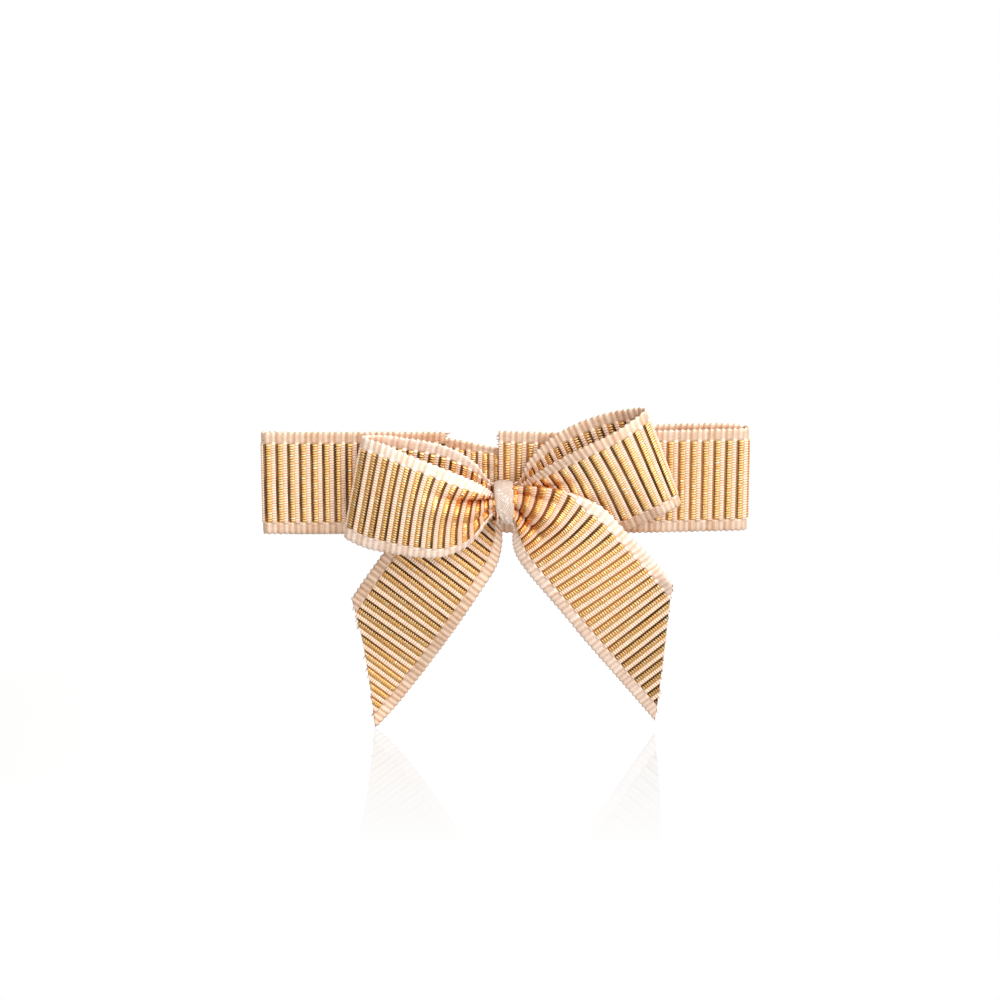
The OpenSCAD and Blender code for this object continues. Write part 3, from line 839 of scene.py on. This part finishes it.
def curl(t_at, v_at, depth, along, across):
    """A corner that curls out of the ribbon's plane."""

    def push(t, v):
        return depth * np.exp(-((t - t_at) / along) ** 2 - ((v - v_at) / across) ** 2)

    return push


def gathers(*folds):
    """Moves a surface in depth by its gathers."""

    def push(t, v):
        deep = sum(f(t, v) for f in folds)
        return np.stack([0 * deep, deep, 0 * deep], axis=-1)

    return push


# The band in plan, x and y: its cut ends, then each fold's centre and radius.
LEFT_END, RIGHT_END = (-14.25, -2.45), (-1.5, -2.8)
LEFT_FOLD, RIGHT_FOLD = (-57.65, -2.2, 0.75), (56.8, -3.05, 1.6)
# The stitch draws in the back layer: how far along x, and by how much at each edge.
GATHER_REACH, GATHER_DIP = 24.0, 5.0
# Height of the front and of the back layer, by x.
FRONT_LIFT = ([-59, -14, -1.5, 11, 35, 59], [-0.35, -0.35, 0, -0.3, 0.3, 1.1])
BACK_LIFT = ([-59, -50, -20, 0, 20, 40, 52, 59], [-0.35, -0.8, -0.6, 0, 0.5, 1.4, 1.6, 1.1])


def band_surface():
    """The band's path in plan, from its left cut end round both folds to its right cut end."""
    arc = np.radians(np.linspace(0, 180, 25))
    left = [(LEFT_FOLD[0] - LEFT_FOLD[2] * math.sin(a),
             LEFT_FOLD[1] - LEFT_FOLD[2] * math.cos(a)) for a in arc]
    right = [(RIGHT_FOLD[0] + RIGHT_FOLD[2] * math.sin(a),
              RIGHT_FOLD[1] + RIGHT_FOLD[2] * math.cos(a)) for a in arc]
    plan = np.array([LEFT_END] + left + right + [RIGHT_END])
    dense, layer = [], []
    for i in range(len(plan) - 1):
        steps = max(2, int(np.linalg.norm(plan[i + 1] - plan[i]) / 0.25))
        for f in np.arange(steps) / steps:
            dense.append(plan[i] + (plan[i + 1] - plan[i]) * f)
            layer.append(1.0 if i == len(left) else 0.0)
    dense.append(plan[-1])
    layer.append(0.0)
    dense, layer = np.array(dense), np.array(layer)
    at = np.append(0, np.cumsum(np.linalg.norm(np.diff(dense, axis=0), axis=1)))
    at /= at[-1]

    def surface(t, v):
        x, y = np.interp(t, at, dense[:, 0]), np.interp(t, at, dense[:, 1])
        back = np.interp(t, at, layer)
        lift = np.interp(x, *FRONT_LIFT)
        lift = lift + (np.interp(x, *BACK_LIFT) - lift) * back
        near = np.clip(1 - np.sqrt(x * x + 1) / GATHER_REACH, 0, 1)
        dip = GATHER_DIP * near ** 1.3 * back
        z = (v - 0.5) * (RIBBON_W - 2 * dip) + lift
        y = y + 0.1 * np.sin(x * 0.33 + 1.0) * (1 - near) * np.sin(math.pi * v)
        y = y - 0.12 * np.sin(v * 26.0) * near * back
        return np.stack([x, y + 0 * z, z], axis=-1)

    return surface


def make_ribbon(name, ribbon, body, nodes, start=None, end=None, frayed=(),
                edge_look=LIT_SELVEDGE_LOOK, **sheet):
    """A ribbon, its gold ribs and its loose ends, which ride on the body unless a start is given.
    """
    ground = dress(ribbon.ground(name), "ribbon", CORD_LOOK, edge_look)
    ribs = dress(ribbon.ribs(name + "_gold"), "gold_rib", GOLD_LOOK)
    loose = [dress(ribbon.frays(name + "_frays" + label, at_start, seed), "ribbon", FRAY_LOOK)
             for label, at_start, seed in frayed]
    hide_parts(nodes[0])
    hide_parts(nodes[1])
    hold([ground, ribs, *loose], body, start)


make_ribbon("band", Ribbon(band_surface(), side=1, turn=-1, start=0.01), "root",
            ("backing_ribbon", "backing_gold_ribs"),
            frayed=[("_left", True, 11), ("_right", False, 12)], edge_look=SELVEDGE_LOOK,
            held="folded", rests_on=["adhesive_pad"])

left_loop = through_stations(LEFT_LOOP, gathers(
    fold(0.80, 0.68, 1.0, 0.69, 3.0, 0.055),
    fold(0.62, 0.52, 0.97, 0.62, -0.9, 0.10),
    fold(0.36, 0.42, 1.0, 0.80, 1.2, 0.05),
    fold(0.18, 0.15, 1.0, 0.84, 1.0, 0.04),
    fold(0.55, 0.50, 0.0, 0.22, 0.9, 0.06),
    fold(0.30, 0.25, 0.0, 0.20, -0.7, 0.06),
))
right_loop = through_stations(RIGHT_LOOP, gathers(
    fold(0.74, 0.66, 1.0, 0.72, 1.6, 0.06),
    fold(0.45, 0.40, 1.0, 0.80, 1.0, 0.06),
    fold(0.55, 0.50, 1.0, 0.60, -0.5, 0.10),
    fold(0.50, 0.55, 0.0, 0.22, 0.8, 0.06),
    fold(0.28, 0.25, 0.0, 0.20, -0.5, 0.06),
))
left_tail = through_stations(LEFT_TAIL, gathers(
    fold(0.35, 0.30, 0.0, 0.30, -0.6, 0.08),
    fold(0.65, 0.62, 0.0, 0.30, 0.5, 0.08),
), keep=0.8)
right_tail = through_stations(RIGHT_TAIL, gathers(
    fold(0.46, 0.34, 0.0, 0.36, 2.4, 0.06),
    fold(0.66, 0.60, 0.02, 0.45, -0.8, 0.10),
    fold(0.84, 0.84, 0.0, 0.30, 1.0, 0.05),
    fold(0.24, 0.20, 0.0, 0.30, -0.7, 0.07),
    fold(0.12, 0.10, 0.0, 0.22, 0.6, 0.04),
    curl(0.71, 1.0, -1.3, 0.035, 0.09),
), tuck=(0.16, 0.36), keep=0.5)

make_ribbon("bow_left_loop", Ribbon(left_loop, side=1, turn=-1, start=1.29), "left_loop",
            ("left_loop", "left_loop_gold_ribs"), start=(-2.8, -8.4, -3.6), end=(-9, -8.4, -3.6),
            held="gathered", rests_on=["centre_wrap"])
make_ribbon("bow_right_loop", Ribbon(right_loop, side=-1, turn=-1, start=1.29), "right_loop",
            ("right_loop", "right_loop_gold_ribs"), start=(2.6, -8.4, -3.6), end=(9, -8.4, -3.6),
            edge_look=SELVEDGE_LOOK, held="gathered", rests_on=["centre_wrap"])
make_ribbon("bow_left_tail", Ribbon(left_tail, side=1, cut=LEFT_CUT, start=-0.2), "left_tail",
            ("left_tail", "left_tail_gold_ribs"), start=(-0.8, -6.0, -6.5), end=(-7, -6.0, -14),
            frayed=[("", False, 21)], edge_look=SELVEDGE_LOOK,
            held="gathered", rests_on=["centre_wrap"])
make_ribbon("bow_right_tail", Ribbon(right_tail, side=1, cut=RIGHT_CUT, start=-0.2), "right_tail",
            ("right_tail", "right_tail_gold_ribs"), start=(2.2, -11, -4), end=(7, -11, -9),
            frayed=[("", False, 31)], held="gathered", rests_on=["centre_wrap"])


# The wrap's ring: its middle, its half sizes, its thickness, how much its edges round off, and
# how square it is, from 1 for an ellipse down to 0.
WRAP_Y, WRAP_Z = -8.4, -3.65
WRAP_HALF_Y, WRAP_HALF_Z = 3.86, 5.31
WRAP_THICK, WRAP_CROWN = 0.22, 0.42
SQUARE_POWER = 0.72
# About the length round such a ring, over its width and height together.
RING_SHARE = 1.75
WAIST_HALF_X, WAIST_RADIUS = 2.3, 4.6


def ring(angle, grow=0.0):
    """The wrap's upright ring, as y and z at an angle from its top towards the front."""
    def squared(x):
        return np.sign(x) * np.abs(x) ** SQUARE_POWER

    return (WRAP_Y - (WRAP_HALF_Y + grow) * squared(np.sin(angle)),
            WRAP_Z + (WRAP_HALF_Z + grow) * squared(np.cos(angle)))


def wrap_mesh():
    """The satin ribbon round the waist, drawn in towards its lower turn."""
    rows, cols = 240, 44
    along = np.linspace(0, 1, rows, endpoint=False)
    angle = 2 * math.pi * ((along + 0.75) % 1)
    across = np.linspace(-1, 1, cols + 1)
    # Angles round the ring, then the wrap's half width and its middle in x at each of them.
    keys = np.radians([0, 45, 85, 98, 120, 135, 150, 165, 180, 200, 230, 270, 320, 360])
    half = np.interp(angle, keys, [2.25, 2.27, 2.28, 2.2, 1.75, 1.4, 0.95, 0.7, 0.9, 1.4, 1.9,
                                   2.2, 2.2, 2.25])
    centre = np.interp(angle, keys, [-0.36, -0.33, -0.12, 0.03, 0.5, 0.65, 0.62, 0.6, 0.55, 0.4,
                                     0.2, -0.1, -0.3, -0.36])
    a, s = np.meshgrid(angle, across, indexing="ij")
    x = centre[:, None] + half[:, None] * s
    crown = -WRAP_CROWN * np.abs(s) ** 3
    tuck = 0.05 * np.cos(s * 9.0 + 0.6 * np.sin(a)) * (0.35 + 0.65 * (np.cos(a) < 0.2))
    grids = []
    for lift in (0.0, -WRAP_THICK):
        y, z = ring(a, crown + tuck + lift * (1 - 0.8 * np.abs(s) ** 8))
        grids.append(np.stack([x, y, z], axis=-1))
    n = rows * (cols + 1)
    ids = np.arange(n).reshape(rows, cols + 1)
    ids = np.concatenate([ids, ids[:1]])
    p, q, r, t = ids[:-1, :-1], ids[1:, :-1], ids[1:, 1:], ids[:-1, 1:]
    outer = np.stack([p, t, r, q], -1).reshape(-1, 4)
    faces = outer.tolist() + (outer[:, ::-1] + n).tolist()
    for j, turn in ((0, 1), (cols, -1)):
        low, high = ids[:-1, j], ids[1:, j]
        faces += np.stack([low, high, high + n, low + n][::turn], -1).tolist()
    length = 2 * (WRAP_HALF_Y + WRAP_HALF_Z) * RING_SHARE
    cloth = np.stack([along[:, None] * length + 0 * s, (s + 1) * WAIST_HALF_X], axis=-1)
    cloth = cloth.reshape(-1, 2)
    points = np.concatenate([g.reshape(-1, 3) for g in grids])
    return build("centre_satin_wrap", points, faces, None, np.concatenate([cloth, cloth]))


wrap = dress(wrap_mesh(), "satin", TWILL_LOOK)
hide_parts("centre_wrap")
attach(wrap, "root")


def waist_mesh():
    """The gathered middle of the bow under the wrap, drawn into flutes."""
    rows, cols = 180, 12
    angle = np.linspace(0, 2 * math.pi, rows, endpoint=False)
    along = np.linspace(-1, 1, cols + 1)
    a, s = np.meshgrid(angle, along, indexing="ij")
    flutes = 0.22 * np.cos(a * 11) + 0.12 * np.cos(a * 17 + 1)
    y, z = ring(a, -1.35 + flutes * (0.4 + 0.6 * np.abs(s)) - 0.25 * (1 - s * s))
    points = np.stack([-0.1 + WAIST_HALF_X * s + 0 * y, y, z], axis=-1).reshape(-1, 3)
    ids = np.arange(rows * (cols + 1)).reshape(rows, cols + 1)
    ids = np.concatenate([ids, ids[:1]])
    p, q, r, t = ids[:-1, :-1], ids[1:, :-1], ids[1:, 1:], ids[:-1, 1:]
    faces = np.stack([p, t, r, q], -1).reshape(-1, 4).tolist()
    faces += [ids[:-1, 0].tolist(), ids[:-1, -1].tolist()[::-1]]
    cloth = np.stack([a * WAIST_RADIUS, (s + 1) * WAIST_HALF_X], axis=-1).reshape(-1, 2)
    return build("waist_gathers", points, faces, None, cloth)


waist = dress(waist_mesh(), "gold_rib", GOLD_LOOK)
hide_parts("bow_waist")
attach(waist, "root")


PAD_HALF = np.array([15.0, 6.0])
PAD_CORNER = 1.2


def pad_slab(name, y0, y1, soft):
    """A slab of the pad's outline, with softened rims, between two depths."""
    outline = []
    for cx, cz, first in ((1, 1, 0), (-1, 1, 90), (-1, -1, 180), (1, -1, 270)):
        for step in range(9):
            turn = math.radians(first + 90 * step / 8)
            outline.append((cx * (PAD_HALF[0] - PAD_CORNER) + PAD_CORNER * math.cos(turn),
                            cz * (PAD_HALF[1] - PAD_CORNER) + PAD_CORNER * math.sin(turn)))
    outline = np.array(outline)
    rings = []
    for y, inset in ((y0, soft), (y0 + soft * 0.3, soft * 0.3), (y0 + soft, 0),
                     (y1 - soft, 0), (y1 - soft * 0.3, soft * 0.3), (y1, soft)):
        shrink = 1 - inset / PAD_HALF
        rings.append(np.column_stack([outline[:, 0] * shrink[0], np.full(len(outline), y),
                                      outline[:, 1] * shrink[1]]))
    size = len(outline)
    points = np.concatenate(rings)
    faces = []
    for k in range(len(rings) - 1):
        for i in range(size):
            p, q = k * size + i, k * size + (i + 1) % size
            faces.append([p, p + size, q + size, q])
    faces.append(list(range(size)))
    faces.append([(len(rings) - 1) * size + i for i in reversed(range(size))])
    piece = build(name, points, faces)
    for flat in piece.data.polygons[-2:]:
        flat.use_smooth = False
    return piece


pad = dress(pad_slab("foam_pad", -1.1, -0.1, 0.12), "foam", FOAM_LOOK)
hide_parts("adhesive_pad")
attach(pad, "root")
liner = dress(pad_slab("liner_sheet", -0.1, 0.0, 0.02), "liner", LINER_LOOK)
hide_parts("release_liner")
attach(liner, "liner")

stitch_z = np.linspace(-6.5, 6.5, 66)
stitch = tubes("running_stitch", [[(0.12 * math.sin(z * 9), -1.86 + 0.28 * math.cos(z * 2.4), z)
                                   for z in stitch_z]], 0.2, sides=10)
dress(stitch, "thread", THREAD_LOOK)
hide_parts("gather_stitch")
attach(stitch, "root")

for node, look in (("binding_thread", THREAD_LOOK), ("bow_glue", GLUE_LOOK),
                   ("left_end_glue", GLUE_LOOK), ("right_end_glue", GLUE_LOOK)):
    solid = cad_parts[node]
    solid.data.materials.clear()
    solid.data.materials.append(look)

# ---- floor, light and camera ----

scene = bpy.context.scene
scene.view_settings.view_transform = "Standard"

FLOOR_GAP = 0.0002
FLOOR_REACH = 30.0

floor_mesh = bpy.data.meshes.new("floor")
floor_mesh.from_pydata([(x * FLOOR_REACH, y * FLOOR_REACH, CAD_BOX[0].z - FLOOR_GAP)
                        for x, y in ((-1, -1), (1, -1), (1, 1), (-1, 1))],
                       [], [(0, 1, 2, 3)])
floor = bpy.data.objects.new("floor", floor_mesh)
scene.collection.objects.link(floor)
floor.visible_glossy = False

# White paper that mirrors the bow faintly: where in y that fades in and fades out, its strength.
MIRROR_IN, MIRROR_OUT, MIRROR = (-0.085, 0.0), (0.01, 0.06), 0.2

paper = bpy.data.materials.new("floor_paper")
nodes = Nodes(paper)
paper.node_tree.nodes.clear()
depth = nodes.axis(nodes.node("TexCoord").outputs["Object"], "Y")
mirrored = nodes.math("MULTIPLY", nodes.ramp(depth, *MIRROR_IN, 0.0, MIRROR),
                      nodes.ramp(depth, *MIRROR_OUT, 1.0, 0.0))
glow = nodes.node("Emission", {"Strength": 1.0})
gloss = nodes.node("BsdfGlossy", {"Roughness": 0.05})
both = nodes.node("MixShader", {0: mirrored, 1: glow.outputs[0], 2: gloss.outputs[0]})
nodes.node("OutputMaterial", {0: both.outputs[0]})
floor_mesh.materials.append(paper)

# Brightness of the studio, by how far a direction points to the right and up.
ACROSS_STOPS = [(-1, 0.2), (-0.55, 0.22), (-0.2, 0.6), (0.05, 1.0), (0.65, 1.15), (0.88, 0.5),
                (1, 0.35)]
ABOVE_STOPS = [(-1, 0.4), (-0.55, 0.5), (-0.4, 0.75), (-0.26, 1.1), (-0.1, 1.55), (0.2, 1.95),
               (1, 1.8)]


def by_direction(nodes, value, stops):
    """Brightness along a direction's part from -1 to 1, by stops of place and brightness."""
    made = nodes.node("ValToRGB", {0: nodes.ramp(value, -1, 1)})
    while len(made.color_ramp.elements) < len(stops):
        made.color_ramp.elements.new(0.5)
    for element, (place, bright) in zip(made.color_ramp.elements, stops):
        element.position = place / 2 + 0.5
        element.color = (bright, bright, bright, 1)
    return made.outputs[0]


world = bpy.data.worlds.new("studio")
scene.world = world
nodes = Nodes(world)
way = nodes.node("TexCoord").outputs["Generated"]
across = by_direction(nodes, nodes.axis(way, "X"), ACROSS_STOPS)
above = by_direction(nodes, nodes.axis(way, "Z"), ABOVE_STOPS)
sky = world.node_tree.nodes["Background"]
sky.inputs["Color"].default_value = (1.0, 0.98, 0.95, 1)
world.node_tree.links.new(nodes.math("MULTIPLY", across, above), sky.inputs["Strength"])

LIGHT_AIM = Vector((0, 0, -0.005))


def softbox(name, place, size, watts):
    """A rectangular light that points at the bow."""
    lamp = bpy.data.lights.new(name, "AREA")
    lamp.shape = "RECTANGLE"
    lamp.size, lamp.size_y = size
    lamp.energy = watts
    holder = bpy.data.objects.new(name, lamp)
    holder.location = place
    holder.rotation_euler = (LIGHT_AIM - Vector(place)).to_track_quat("-Z", "Y").to_euler()
    scene.collection.objects.link(holder)


softbox("key_light", (0.55, -0.7, 0.7), (0.6, 0.5), 5)
softbox("back_light", (0.3, 0.9, 0.6), (0.7, 0.5), 5)

# The camera's height above the level, its distance and the width that it shows there, in metres.
ELEVATION = math.radians(15)
DISTANCE = 0.65
SHOWN = 0.2415
target = Vector((-0.0012, -0.003, -0.0045))
camera_data = bpy.data.cameras.new("camera")
camera_data.sensor_width = 36
camera_data.lens = 36 * DISTANCE / SHOWN
camera_data.clip_start, camera_data.clip_end = 0.01, 100
camera = bpy.data.objects.new("camera", camera_data)
back = Vector((0, -math.cos(ELEVATION), math.sin(ELEVATION)))
camera.location = target + back * DISTANCE
camera.rotation_euler = (-back).to_track_quat("-Z", "Y").to_euler()
scene.collection.objects.link(camera)
scene.camera = camera
